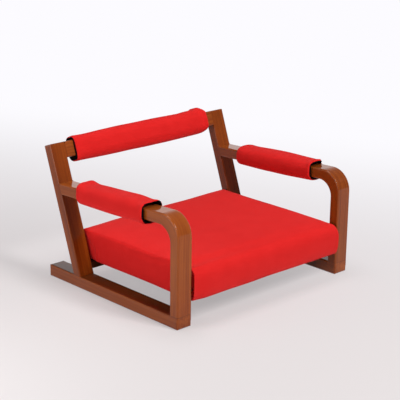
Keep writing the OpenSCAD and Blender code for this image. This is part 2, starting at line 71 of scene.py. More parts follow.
def smooth(low, high, x):
    """0 before low, 1 after high, and a soft step between them."""
    t = np.clip((x - low) / (high - low), 0, 1)
    return t * t * (3 - 2 * t)


def hump(x, width):
    """1 at zero, falling off to both sides within about twice the width."""
    return np.exp(-((x / width) ** 2))


def ripple(points, size, seed):
    """Soft random unevenness from -1 to 1 over points, with bumps of about the given size."""
    shift = Vector((seed * 7.31, seed * 3.17, seed * 5.73))
    return np.array([noise.noise(Vector(p) / size + shift) for p in points])


# Helpers for shader nodes


def add(tree, kind, inputs=None, **settings):
    """A shader node with its settings and inputs. An input is a value or another node's output."""
    made = tree.nodes.new("ShaderNode" + kind)
    for name, value in settings.items():
        setattr(made, name, value)
    for name, value in (inputs or {}).items():
        if isinstance(value, bpy.types.NodeSocket):
            tree.links.new(value, made.inputs[name])
        else:
            made.inputs[name].default_value = value
    return made


def calc(tree, operation, *values):
    """One step of arithmetic on numbers or outputs."""
    return add(tree, "Math", dict(enumerate(values)), operation=operation).outputs[0]


def vector_calc(tree, operation, *values):
    """One step of arithmetic on vectors. A length and a dot product are numbers."""
    node = add(tree, "VectorMath", dict(enumerate(values)), operation=operation)
    return node.outputs["Value" if operation in ("LENGTH", "DOT_PRODUCT") else "Vector"]


def mixed(tree, share, first, second):
    """Two colours mixed by a share."""
    return add(tree, "Mix", {0: share, 6: first, 7: second}, data_type="RGBA").outputs[2]


def spread(tree, value, low, high, to_low=0.0, to_high=1.0):
    """A value between low and high carried over to another range."""
    return add(tree, "MapRange", {0: value, 1: low, 2: high, 3: to_low, 4: to_high}).outputs[0]


def colour(red, green, blue):
    """A linear colour with full alpha."""
    return (red, green, blue, 1.0)


def new_group(name, inputs, outputs):
    """An empty node group with named sockets of the given kinds, and its two end nodes."""
    tree = bpy.data.node_groups.new(name, "ShaderNodeTree")
    for way, sockets in (("INPUT", inputs), ("OUTPUT", outputs)):
        for label, kind in sockets.items():
            tree.interface.new_socket(name=label, in_out=way, socket_type="NodeSocket" + kind)
    return tree, tree.nodes.new("NodeGroupInput"), tree.nodes.new("NodeGroupOutput")


def use(tree, group, inputs):
    """Places a node group in a material with its own values."""
    return add(tree, "Group", inputs, node_tree=group).outputs


def feed(tree, node, values):
    """Links outputs to a node's inputs."""
    for name, value in values.items():
        tree.links.new(value, node.inputs[name])


def noise_of(tree, vector, scale, detail=3.0, rough=0.55):
    """Value of a noise texture."""
    inputs = {"Vector": vector, "Scale": scale, "Detail": detail, "Roughness": rough}
    return add(tree, "TexNoise", inputs).outputs[0]


def stretched_noise(tree, vector, factors, detail, rough=0.55):
    """Value of a noise texture whose spots are drawn out along the parts with small factors."""
    return noise_of(tree, vector_calc(tree, "MULTIPLY", vector, factors), 1.0, detail, rough)


# Shared effects

SWAY = (0.012, 0.02)
PORE_DARKNESS = 0.45
JOINT_LINE_HALF = 0.9 * MM
JOINT_LINE_CORE = 0.2 * MM


def wood_grain_group():
    """Hardwood seen through lacquer. The vector's third part runs along the board."""
    tree, given, out = new_group(
        "wood_grain",
        {"Vector": "Vector", "Light": "Color", "Dark": "Color", "Contrast": "Float"},
        {"Colour": "Color", "Height": "Float", "Roughness": "Float"},
    )
    vector = given.outputs["Vector"]
    sway = stretched_noise(tree, vector, (18, 18, 3), 2.0)
    shift = [calc(tree, "MULTIPLY", sway, reach) for reach in SWAY]
    shift = add(tree, "CombineXYZ", {0: shift[0], 1: shift[1]}).outputs[0]
    swayed = vector_calc(tree, "ADD", vector, shift)
    waves = {"Scale": 42.0, "Distortion": 2.2, "Detail": 2.0, "Detail Scale": 2.0}
    waves["Vector"] = vector_calc(tree, "MULTIPLY", swayed, (1, 1, 0.03))
    kind = {"wave_type": "RINGS", "rings_direction": "Z", "wave_profile": "SAW"}
    rings = add(tree, "TexWave", waves, **kind).outputs[1]
    fibre = stretched_noise(tree, swayed, (420, 420, 9), 4.0, 0.6)
    streak = stretched_noise(tree, swayed, (110, 110, 2.2), 3.0)
    pores = spread(tree, stretched_noise(tree, vector, (1500, 1500, 45), 2.0, 0.5), 0.62, 0.72)
    broad = stretched_noise(tree, vector, (7, 7, 2.5), 2.0)
    tone = 0.0
    for layer, weight in ((rings, 0.22), (fibre, 0.6), (streak, 1.3), (broad, 1.4)):
        uneven = calc(tree, "SUBTRACT", layer, 0.5)
        tone = calc(tree, "ADD", tone, calc(tree, "MULTIPLY", uneven, weight))
    share = calc(tree, "ADD", calc(tree, "MULTIPLY", tone, given.outputs["Contrast"]), 0.5)
    wood = mixed(tree, share, given.outputs["Dark"], given.outputs["Light"])
    wood = mixed(tree, calc(tree, "MULTIPLY", pores, PORE_DARKNESS), wood, given.outputs["Dark"])
    height = calc(tree, "MULTIPLY", calc(tree, "SUBTRACT", fibre, pores), 0.5)
    roughness = spread(tree, fibre, 0.3, 0.7, 0.36, 0.46)
    feed(tree, out, {"Colour": wood, "Height": height, "Roughness": roughness})
    return tree


def bent_path_group():
    """Straightens the leg, the bend and the arm into one board, so that the grain follows the bend."""
    tree, given, out = new_group("bent_board", {"Vector": "Vector"}, {"Vector": "Vector"})
    parts = add(tree, "SeparateXYZ", {0: given.outputs[0]}).outputs
    behind = calc(tree, "MAXIMUM", calc(tree, "SUBTRACT", parts[1], BEND_Y), 0.0)
    before = calc(tree, "MAXIMUM", calc(tree, "SUBTRACT", BEND_Y, parts[1]), 0.0)
    level = calc(tree, "ADD", parts[2], calc(tree, "MULTIPLY", behind, math.tan(ARM_SLOPE)))
    rise = calc(tree, "SUBTRACT", level, BEND_Z)
    above, below = calc(tree, "MAXIMUM", rise, 0.0), calc(tree, "MINIMUM", rise, 0.0)
    flat = add(tree, "CombineXYZ", {0: before, 1: above}).outputs[0]
    out_from_bend = vector_calc(tree, "LENGTH", flat)
    turn = calc(tree, "MULTIPLY", calc(tree, "ARCTAN2", above, before), BEND_R + ARM_D / 2)
    along = calc(tree, "ADD", calc(tree, "ADD", below, behind), turn)
    straight = add(tree, "CombineXYZ", {0: parts[0], 1: out_from_bend, 2: along}).outputs[0]
    tree.links.new(straight, out.inputs[0])
    return tree


def edge_group():
    """1 on rounded edges and corners, 0 on flat faces."""
    tree, given, out = new_group("edge_mask", {"Radius": "Float"}, {"Mask": "Float"})
    worn = add(tree, "Bevel", {"Radius": given.outputs[0]}, samples=6).outputs[0]
    flat = add(tree, "NewGeometry").outputs["Normal"]
    agree = vector_calc(tree, "DOT_PRODUCT", worn, flat)
    tree.links.new(spread(tree, agree, 0.995, 0.93), out.inputs[0])
    return tree


def joint_line_group():
    """1 on the fine line where two members meet, at a plane through a point."""
    vectors = {"Vector": "Vector", "Point": "Vector", "Across": "Vector"}
    tree, given, out = new_group("joint_line", vectors, {"Mask": "Float"})
    place, point, across = (given.outputs[name] for name in ("Vector", "Point", "Across"))
    away = vector_calc(tree, "SUBTRACT", place, point)
    distance = calc(tree, "ABSOLUTE", vector_calc(tree, "DOT_PRODUCT", away, across))
    tree.links.new(spread(tree, distance, JOINT_LINE_HALF, JOINT_LINE_CORE), out.inputs[0])
    return tree


def weave_group():
    """Plain weave. The vector lies in the cloth, in metres, and the pitch is the width of one thread."""
    tree, given, out = new_group(
        "plain_weave", {"Vector": "Vector", "Pitch": "Float"}, {"Height": "Float", "Thread": "Float"}
    )
    parts = add(tree, "SeparateXYZ", {0: given.outputs["Vector"]}).outputs
    slub = noise_of(tree, given.outputs["Vector"], 140.0, 2.0)
    bent = calc(tree, "MULTIPLY", calc(tree, "SUBTRACT", slub, 0.5), 1.2)
    waves = []
    for part in parts[:2]:
        turns = calc(tree, "DIVIDE", part, given.outputs["Pitch"])
        turns = calc(tree, "MULTIPLY", calc(tree, "ADD", turns, bent), math.pi)
        waves.append(calc(tree, "SINE", turns))
    over = spread(tree, calc(tree, "MULTIPLY", waves[0], waves[1]), -1 / 3, 1 / 3)
    warp = calc(tree, "MULTIPLY", calc(tree, "ABSOLUTE", waves[0]), over)
    weft = calc(tree, "MULTIPLY", calc(tree, "ABSOLUTE", waves[1]), calc(tree, "SUBTRACT", 1.0, over))
    warp_tone = stretched_noise(tree, given.outputs["Vector"], (900, 25, 1), 2.0)
    weft_tone = stretched_noise(tree, given.outputs["Vector"], (25, 900, 1), 2.0)
    thread = add(tree, "Mix", {0: over, 2: weft_tone, 3: warp_tone}).outputs[0]
    feed(tree, out, {"Height": calc(tree, "ADD", warp, weft), "Thread": thread})
    return tree


WOOD_GRAIN = wood_grain_group()
BENT_BOARD = bent_path_group()
EDGE_MASK = edge_group()
JOINT_LINE = joint_line_group()
PLAIN_WEAVE = weave_group()


def new_material(name, **shader):
    """A material with its Principled shader's constant values set on the shader's own sockets."""
    made = bpy.data.materials.new(name)
    made.use_nodes = True
    tree = made.node_tree
    tree.nodes.clear()
    bsdf = add(tree, "BsdfPrincipled", shader)
    end = tree.nodes.new("ShaderNodeOutputMaterial")
    tree.links.new(bsdf.outputs[0], end.inputs[0])
    return made, tree, bsdf


def bump(tree, bsdf, height, distance):
    """Feeds an unevenness into the shader's normal. A height of 1 stands for the distance, in metres."""
    node = add(tree, "Bump", {"Height": height, "Distance": distance, "Strength": 1.0})
    tree.links.new(node.outputs[0], bsdf.inputs["Normal"])


def board_vector(tree, turn):
    """Object coordinates turned so that the board's length runs along the third part."""
    place = add(tree, "TexCoord").outputs["Object"]
    return place, add(tree, "Mapping", {"Vector": place, "Rotation": turn}).outputs[0]


# How deep the finest unevenness of each surface is
LACQUER_RELIEF = 0.06 * MM
BARE_WOOD_RELIEF = 0.12 * MM
STEEL_RELIEF = 0.04 * MM

LACQUER = {"Coat Roughness": 0.08, "Coat IOR": 1.5, "Specular IOR Level": 0.03}
STAIN_LIGHT = colour(0.41, 0.100, 0.014)
STAIN_DARK = colour(0.15, 0.020, 0.002)
POST_LIGHT = colour(0.32, 0.066, 0.006)
POST_DARK = colour(0.11, 0.014, 0.001)
GLUE_LINE = colour(0.05, 0.01, 0.003)
EDGE_WEAR_AND_HIGHLIGHT = 0.18
GLUE_LINE_SHARE = 0.7
GLUE_LINE_DEPTH = 3.0


def frame_wood(name, turn, joints=(), bent=False, stain=(STAIN_LIGHT, STAIN_DARK)):
    """Stained and lacquered hardwood for one kind of member, with the joint lines that show on it."""
    light, dark = stain
    made, tree, bsdf = new_material(name, **LACQUER)
    place, vector = board_vector(tree, turn)
    if bent:
        vector = use(tree, BENT_BOARD, {"Vector": place})["Vector"]
    grain = use(tree, WOOD_GRAIN, {"Vector": vector, "Light": light, "Dark": dark, "Contrast": 0.75})
    edge = use(tree, EDGE_MASK, {"Radius": EDGE_R})["Mask"]
    # Lighter stain on the rounded edges: partly stain worn thin there, partly painted highlight
    wood = mixed(tree, calc(tree, "MULTIPLY", edge, EDGE_WEAR_AND_HIGHLIGHT), grain["Colour"], light)
    height = grain["Height"]
    for point, across in joints:
        line = use(tree, JOINT_LINE, {"Vector": place, "Point": point, "Across": across})["Mask"]
        wood = mixed(tree, calc(tree, "MULTIPLY", line, GLUE_LINE_SHARE), wood, GLUE_LINE)
        height = calc(tree, "SUBTRACT", height, calc(tree, "MULTIPLY", line, GLUE_LINE_DEPTH))
    # Polished lacquer mirrors far more at a glancing view
    facing = add(tree, "LayerWeight", {"Blend": 0.5}).outputs["Facing"]
    gloss = spread(tree, facing, 0.3, 0.7, 0.5, 1.0)
    feed(tree, bsdf, {"Base Color": wood, "Roughness": grain["Roughness"], "Coat Weight": gloss})
    bump(tree, bsdf, height, LACQUER_RELIEF)
    return made


def plain_wood(name, turn, layers=0.0):
    """Bare pale wood. With layers, thin plies lie on each other along Z."""
    made, tree, bsdf = new_material(name)
    place, vector = board_vector(tree, turn)
    pale, deep = colour(0.62, 0.43, 0.22), colour(0.42, 0.26, 0.12)
    grain = use(tree, WOOD_GRAIN, {"Vector": vector, "Light": pale, "Dark": deep, "Contrast": 0.6})
    wood = grain["Colour"]
    if layers:
        level = add(tree, "SeparateXYZ", {0: place}).outputs[2]
        ply = calc(tree, "SINE", calc(tree, "MULTIPLY", level, 2 * math.pi / layers))
        side = add(tree, "SeparateXYZ", {0: add(tree, "NewGeometry").outputs["Normal"]}).outputs[2]
        on_edge = spread(tree, calc(tree, "ABSOLUTE", side), 0.5, 0.3)
        share = calc(tree, "MULTIPLY", calc(tree, "GREATER_THAN", ply, 0.0), on_edge)
        wood = mixed(tree, share, wood, deep)
    dull = spread(tree, grain["Roughness"], 0.36, 0.46, 0.6, 0.75)
    feed(tree, bsdf, {"Base Color": wood, "Roughness": dull})
    bump(tree, bsdf, grain["Height"], BARE_WOOD_RELIEF)
    return made


def woven_cloth(name, base, shade, pitch, lift, **shader):
    """Woven cloth with uneven threads. It reads the piece's own cloth coordinates, in metres."""
    made, tree, bsdf = new_material(name, **shader)
    cloth = add(tree, "UVMap", uv_map="cloth").outputs[0]
    place = add(tree, "TexCoord").outputs["Object"]
    weave = use(tree, PLAIN_WEAVE, {"Vector": cloth, "Pitch": pitch})
    uneven = noise_of(tree, place, 26.0, 3.0)
    # The gaps between threads are darker: painted shade. The threads' own tones and the blotches are the
    # cloth's colour
    dip = calc(tree, "SUBTRACT", 1.0, weave["Height"])
    thread = spread(tree, weave["Thread"], 0.3, 0.7, 0.0, 0.4)
    share = calc(tree, "ADD", calc(tree, "MULTIPLY", dip, 0.45), thread)
    share = calc(tree, "ADD", share, spread(tree, uneven, 0.3, 0.7, 0.0, 0.22))
    dull = spread(tree, weave["Height"], 0.0, 1.0, 0.92, 0.8)
    feed(tree, bsdf, {"Base Color": mixed(tree, share, base, shade), "Roughness": dull})
    fuzz = noise_of(tree, place, 900.0, 2.0)
    height = calc(tree, "ADD", weave["Height"], calc(tree, "MULTIPLY", fuzz, 0.5))
    bump(tree, bsdf, height, lift)
    return made


def steel(name):
    """Zinc plated steel with fine turning marks."""
    made, tree, bsdf = new_material(name, Metallic=1.0)
    place = add(tree, "TexCoord").outputs["Object"]
    marks = stretched_noise(tree, place, (900, 900, 900), 3.0)
    cloudy = noise_of(tree, place, 60.0, 3.0)
    tint = mixed(tree, cloudy, colour(0.55, 0.55, 0.57), colour(0.72, 0.72, 0.72))
    dull = spread(tree, marks, 0.3, 0.7, 0.25, 0.42)
    feed(tree, bsdf, {"Base Color": tint, "Roughness": dull})
    bump(tree, bsdf, marks, STEEL_RELIEF)
    return made


LEG_FOOT = ((0, 0, RUNNER_TOP), (0, 0, 1))
POST_FRONT = ((0, POST_FOOT, RUNNER_TOP), (0, math.cos(LEAN), -math.sin(LEAN)))
LEFT_END = ((-INNER_X, 0, 0), (1, 0, 0))
RIGHT_END = ((INNER_X, 0, 0), (1, 0, 0))

QUARTER = math.pi / 2
runner_wood = frame_wood("runner_wood", (QUARTER, 0, 0), [LEG_FOOT])
post_wood = frame_wood("post_wood", (LEAN, 0, 0), [LEG_FOOT], stain=(POST_LIGHT, POST_DARK))
arm_wood = frame_wood("bent_arm_wood", (0, 0, 0), [LEG_FOOT, POST_FRONT], bent=True)
# The right arm takes a darker copy of the stain: painted shade, since that side of the frame faces away
# from the light
painted_shade_stain = (colour(0.35, 0.078, 0.009), colour(0.12, 0.016, 0.0012))
painted_shade_arm_wood = frame_wood(
    "painted_shade_arm_wood", (0, 0, 0), [LEG_FOOT, POST_FRONT], bent=True, stain=painted_shade_stain
)
rail_wood = frame_wood("rail_wood", (0, QUARTER, 0), [LEFT_END, RIGHT_END])
# The rear stretcher's near-black stain is painted shade, for the shadow under the seat
painted_shadow_stain = (colour(0.09, 0.022, 0.006), colour(0.04, 0.008, 0.002))
shadowed_stretcher_wood = frame_wood("shadowed_stretcher_wood", (0, QUARTER, 0), stain=painted_shadow_stain)
dowel_wood = plain_wood("dowel_wood", (0, 0, 0))
seat_rail_wood = plain_wood("seat_rail_wood", (QUARTER, 0, 0))
cross_rail_wood = plain_wood("cross_rail_wood", (0, QUARTER, 0))
plywood = plain_wood("plywood", (QUARTER, 0, 0), layers=2.5 * MM)
zinc_steel = steel("zinc_steel")

CANVAS_SHADER = {"Sheen Weight": 0.05, "Sheen Roughness": 0.45, "Specular IOR Level": 0.08}
LINING_SHADER = {"Specular IOR Level": 0.05}
RED, DEEP_RED = colour(0.78, 0.021, 0.020), colour(0.60, 0.009, 0.008)
BLACK, DEEP_BLACK = colour(0.006, 0.003, 0.003), colour(0.002, 0.001, 0.001)
CHARCOAL, DEEP_CHARCOAL = colour(0.034, 0.033, 0.035), colour(0.012, 0.012, 0.013)
# After a cloth's two colours come the width of its thread and the thread's height
red_canvas = woven_cloth("red_canvas", RED, DEEP_RED, 0.8 * MM, 0.16 * MM, **CANVAS_SHADER)
black_lining = woven_cloth("black_lining", BLACK, DEEP_BLACK, 0.6 * MM, 0.1 * MM, **LINING_SHADER)
black_dust_cloth = woven_cloth(
    "black_dust_cloth", CHARCOAL, DEEP_CHARCOAL, 1.0 * MM, 0.1 * MM, **LINING_SHADER
)

FINISHES = {
    runner_wood: ["left_runner", "right_runner"],
    post_wood: ["left_back_post", "right_back_post"],
    arm_wood: ["left_arm"],
    painted_shade_arm_wood: ["right_arm"],
    rail_wood: ["back_rail"],
    shadowed_stretcher_wood: ["rear_stretcher"],
    dowel_wood: ["leg_dowels", "post_dowels", "arm_dowels", "back_rail_dowels"]
    + ["stretcher_dowels", "seat_rail_dowels"],
    seat_rail_wood: ["left_seat_rail", "right_seat_rail"],
    cross_rail_wood: ["front_seat_rail", "rear_seat_rail"],
    plywood: ["seat_deck"],
    zinc_steel: ["deck_screws", "seat_bolts", "bolt_washers", "threaded_inserts"],
}
for finish, names in FINISHES.items():
    for name in names:
        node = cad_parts[name]
        for place in node.material_slots:
            place.link = "OBJECT"
            place.material = finish


# Helpers for soft pieces


def new_object(name, data):
    """An object of the scene."""
    made = bpy.data.objects.new(name, data)
    bpy.context.scene.collection.objects.link(made)
    return made


def new_piece(name, points, faces, finish=None, cloth=None):
    """A mesh object with smooth faces.

    cloth gives each face corner's place in the flat cloth, in metres."""
    mesh = bpy.data.meshes.new(name)
    mesh.from_pydata([tuple(p) for p in points], [], [tuple(f) for f in faces])
    if finish:
        mesh.materials.append(finish)
    if cloth is not None:
        layer = mesh.uv_layers.new(name="cloth")
        layer.data.foreach_set("uv", np.asarray(cloth, np.float32).ravel())
    mesh.polygons.foreach_set("use_smooth", [True] * len(mesh.polygons))
    mesh.validate()
    return new_object(name, mesh)


def soften(piece):
    """Subdivides a piece smoothly, once."""
    step = piece.modifiers.new("soften", "SUBSURF")
    step.levels = step.render_levels = 1
    step.use_limit_surface = False


def thicken(piece, thickness):
    """Gives cloth its thickness, inwards."""
    step = piece.modifiers.new("thickness", "SOLIDIFY")
    step.thickness = thickness
    step.offset = -1.0
    step.use_even_offset = False


INFLATE_FRAMES = 20


def inflate(points, faces, held, pressure, cap):
    """Blows cloth up from inside in a short simulation.

    It returns the cloth's points, none moved further than cap."""
    piece = new_piece("inflating", points, faces)
    piece.vertex_groups.new(name="held").add([int(i) for i in held], 1.0, "REPLACE")
    step = piece.modifiers.new("inflate", "CLOTH")
    cloth = step.settings
    cloth.quality = 6
    cloth.mass = 0.3
    cloth.tension_stiffness = cloth.compression_stiffness = 18
    cloth.shear_stiffness = 8
    cloth.bending_stiffness = 0.6
    cloth.use_pressure = True
    cloth.uniform_pressure_force = pressure
    cloth.vertex_group_mass = "held"
    cloth.effector_weights.gravity = 0.0
    step.collision_settings.use_collision = False
    step.point_cache.frame_end = INFLATE_FRAMES
    scene = bpy.context.scene
    for number in range(1, INFLATE_FRAMES + 1):
        scene.frame_set(number)
    ready = piece.evaluated_get(bpy.context.evaluated_depsgraph_get())
    moved = np.array([v.co for v in ready.data.vertices])
    scene.frame_set(1)
    bpy.data.meshes.remove(piece.data)
    far = np.maximum(np.linalg.norm(moved - points, axis=1, keepdims=True), 1e-9)
    return points + (moved - points) * cap * np.tanh(far / cap) / far


def grid_faces(index):
    """Quads between neighbouring points of a grid, from the numbers of the points."""
    corners = (index[:-1, :-1], index[:-1, 1:], index[1:, 1:], index[1:, :-1])
    return list(zip(*(corner.ravel() for corner in corners)))


def wall_faces(count, rings, closed=False):
    """Quads between neighbouring rings of count points. When closed, the last ring meets the first."""
    index = np.arange(count * rings).reshape(rings, count)
    if closed:
        index = np.concatenate([index, index[:1]])
    return grid_faces(np.column_stack([index, index[:, 0]]))


def ring_cloth(rings):
    """Cloth coordinates of the face corners of wall_faces, from the lengths round and up the rings."""
    closed = np.concatenate([rings, rings[:, :1]], axis=1)
    middle = closed[len(rings) // 2]
    round_it = np.concatenate([[0], np.cumsum(np.linalg.norm(np.diff(middle, axis=0), axis=1))])
    up = np.concatenate([[0], np.cumsum(np.linalg.norm(np.diff(rings, axis=0), axis=2).mean(1))])
    return [
        (round_it[i + right], up[j + above])
        for j in range(len(rings) - 1)
        for i in range(rings.shape[1])
        for right, above in ((0, 0), (1, 0), (1, 1), (0, 1))
    ]


# Seat cushion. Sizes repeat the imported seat's named values.

SEAT_LOW, SEAT_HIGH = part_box("seat_cover")
SEAT_PLAY = 0.3 * MM
SEAT_HALF = INNER_X - SEAT_PLAY
SEAT_FRONT = SEAT_LOW.y
SEAT_BACK = SEAT_HIGH.y
SEAT_BOTTOM = SEAT_LOW.z
SEAT_T = 84 * MM
SEAT_TOP = SEAT_BOTTOM + SEAT_T
NOSE_RISE = 46 * MM
CROWN = SEAT_HIGH.z - SEAT_TOP + 3 * MM
CROWN_REACH = 22 * MM
NEAR_CROWN = 0.75
CORNER_R = 3 * MM
DRAW_IN = 3 * MM
LOW_INSET = {"side": 5 * MM, "front": 12 * MM, "rear": 12 * MM}
HIGH_INSET = {"side": 12 * MM, "front": 34 * MM, "rear": 20 * MM}
FULLNESS = 0.8
TURN_IN = 26 * MM
SEAT_CLOTH = 1.2 * MM
SEAT_SHRINK = 1.5 * MM
SEAT_PRESSURE = 4.0
SEAT_GIVE = 4 * MM
HELD_RINGS = 6
CORNER_CELLS = 4
EDGE_TURNS = [*range(-90, 1, 10), 8, 16, 24, 32, 39, 46, 52, 58, 63, 68, 72]
FLAP_SHARES = (0, 0.25, 0.5, 0.75)


def stations(length, cell, dense=()):
    """Shares from 0 to 1 about a cell apart, closer by a factor in each (from, to, factor) stretch."""
    steps = 400
    u = (np.arange(steps) + 0.5) / steps
    weight = np.ones(steps)
    for low, high, factor in dense:
        weight += (factor - 1) * smooth(low - 0.03, low, u) * (1 - smooth(high, high + 0.03, u))
    total = np.concatenate([[0], np.cumsum(weight)])
    count = max(2, round(total[-1] / steps * length / cell))
    return np.interp(np.linspace(0, total[-1], count + 1), total, np.linspace(0, 1, steps + 1))


CELL = 8 * MM
ACROSS = stations(2 * SEAT_HALF, CELL)
ALONG = stations(SEAT_BACK - SEAT_FRONT, CELL, [(0.0, 0.14, 2.2), (0.80, 0.97, 3.0)])


def heading(turn):
    """The flat direction at a turn, in radians."""
    return np.array([math.cos(turn), math.sin(turn)])


def seat_outline(half, front, back, corner):
    """The cushion's outline at one height: four sides that meet at the middle of each rounded corner."""
    half, front, back = half - corner, front + corner, back - corner
    centres = np.array([(-half, front), (half, front), (half, back), (-half, back)])
    inward = np.array([(0, DRAW_IN / 2), (-DRAW_IN, 0), (0, -DRAW_IN), (DRAW_IN, 0)])
    points = []
    for side in range(4):
        start, end = centres[side], centres[(side + 1) % 4]
        shares = (ACROSS, ALONG, 1 - ACROSS[::-1], 1 - ALONG[::-1])[side]
        first = math.radians(225 + 90 * side)
        straight = math.radians(270 + 90 * side)
        for i in range(CORNER_CELLS):
            turn = first + (straight - first) * i / CORNER_CELLS
            points.append(start + corner * heading(turn))
        for share in shares:
            bow = inward[side] * math.sin(math.pi * share)
            points.append(start + (end - start) * share + heading(straight) * corner + bow)
        for i in range(1, CORNER_CELLS):
            turn = straight + math.radians(45) * i / CORNER_CELLS
            points.append(end + corner * heading(turn))
    return np.array(points)


def seat_ring(turn):
    """The outline at a turn round the edge, from -90 degrees underneath to 90 on top."""
    inset = LOW_INSET if turn < 0 else HIGH_INSET
    reach = 1 - math.cos(math.radians(turn)) ** FULLNESS if abs(turn) < 90 else 1.0
    rise = abs(math.sin(math.radians(turn))) ** FULLNESS
    flat = seat_outline(
        SEAT_HALF - SEAT_SHRINK - inset["side"] * reach,
        SEAT_FRONT + SEAT_SHRINK + inset["front"] * reach,
        SEAT_BACK - SEAT_SHRINK - inset["rear"] * reach,
        CORNER_R - SEAT_SHRINK,
    )
    room = SEAT_SHRINK - NOSE_RISE if turn < 0 else SEAT_T - NOSE_RISE - SEAT_SHRINK
    level = SEAT_BOTTOM + NOSE_RISE + room * rise
    return np.column_stack([flat, np.full(len(flat), level)])


def filled(ring, across, along):
    """A grid of points across a closed ring, row by row from the front, by blending its four sides."""
    front = ring[: across + 1]
    right = ring[across : across + along + 1]
    back = ring[across + along : 2 * across + along + 1][::-1]
    left = np.concatenate([ring[2 * across + along :], ring[:1]])[::-1]
    u = np.linspace(0, 1, across + 1)[None, :, None]
    v = np.linspace(0, 1, along + 1)[:, None, None]
    grid = (1 - v) * front[None] + v * back[None] + (1 - u) * left[:, None] + u * right[:, None]
    near_ends = (1 - u) * (1 - v) * front[0] + u * (1 - v) * front[-1]
    grid -= near_ends + (1 - u) * v * back[0] + u * v * back[-1]
    return grid


def seat_cushion():
    """The red seat cover over its foam: top, rounded sides and the fabric turned in underneath."""
    across = len(ACROSS) - 1 + 2 * CORNER_CELLS
    along = len(ALONG) - 1 + 2 * CORNER_CELLS
    rings = [seat_ring(turn) for turn in EDGE_TURNS]
    deck_low, deck_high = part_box("seat_deck")
    flap = rings[0].copy()
    flap[:, 0] = np.clip(flap[:, 0], deck_low.x + TURN_IN, deck_high.x - TURN_IN)
    flap[:, 1] = np.clip(flap[:, 1], deck_low.y + TURN_IN, deck_high.y - TURN_IN)
    under = [flap + (rings[0] - flap) * share for share in FLAP_SHARES]
    rings = np.array(under + rings)
    count = rings.shape[1]
    top = filled(rings[-1], across, along)
    low, high = rings[-1].min(0), rings[-1].max(0)
    inside = np.minimum(top - low, high - top)[:, :, :2]
    near = (1 - np.exp(-np.maximum(inside, 0) / CROWN_REACH)).prod(2)
    far = (4 * (top - low) * (high - top) / np.maximum(high - low, MM) ** 2)[:, :, :2].prod(2)
    crown = NEAR_CROWN * near + (1 - NEAR_CROWN) * far
    top[:, :, 2] += (CROWN + SEAT_TOP - SEAT_SHRINK - high[2]) * crown
    points = np.concatenate([rings.reshape(-1, 3), top[1:-1, 1:-1].reshape(-1, 3)])
    edge_first = (len(rings) - 1) * count
    index = np.zeros((along + 1, across + 1), int)
    index[0, :] = edge_first + np.arange(across + 1)
    index[:, -1] = edge_first + across + np.arange(along + 1)
    index[-1, ::-1] = edge_first + across + along + np.arange(across + 1)
    index[::-1, 0] = edge_first + (2 * across + along + np.arange(along + 1)) % count
    index[1:-1, 1:-1] = np.arange(len(rings) * count, len(points)).reshape(along - 1, across - 1)
    quads = grid_faces(index)
    faces = wall_faces(count, len(rings)) + quads
    cloth = np.concatenate([ring_cloth(rings), points[np.ravel(quads), :2]])
    points = inflate(points, faces, np.arange(HELD_RINGS * count), SEAT_PRESSURE, SEAT_GIVE)
    points = shape_seat(points, len(under) * count)
    piece = new_piece("seat_cushion", points, faces, red_canvas, cloth)
    thicken(piece, SEAT_CLOTH)
    soften(piece)
    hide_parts("seat_cover", "seat_foam")
    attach(piece, "chair")


def front_at(level):
    """How far back the cushion's front stands at heights in mm, from the front of the legs."""
    middle = (SEAT_BOTTOM + NOSE_RISE) / MM
    upper, lower = (SEAT_T - NOSE_RISE) / MM, NOSE_RISE / MM
    rise = np.where(level > middle, (level - middle) / upper, (middle - level) / lower)
    inset = np.where(level > middle, HIGH_INSET["front"], LOW_INSET["front"]) / MM
    sine = np.clip(rise, 0, 1) ** (1 / FULLNESS)
    return (SEAT_FRONT - FRONT) / MM + inset * (1 - (1 - sine**2) ** (FULLNESS / 2))


# Depths of the cushion's folds and waves, in millimetres
LEFT_SAG = 4.0
RIGHT_RISE = 2.0
DIP = 0.2
LEFT_DIP = 2.8
WRINKLE = 0.55
WRINKLE_PITCH = 13
SIDE_RIDGE = 0.7
PINCH = 1.3
FLAP_TUCK = 2.8
FLAP_CREASE = 1.1
FLAP_SWELL = 0.8
LEFT_CORNER_SETBACK = 5.5
CORNER_HOLLOW = 10.5
FOLD_HOLLOW = 3
BROAD_WAVES = 0.85
FINE_WAVES = 0.3


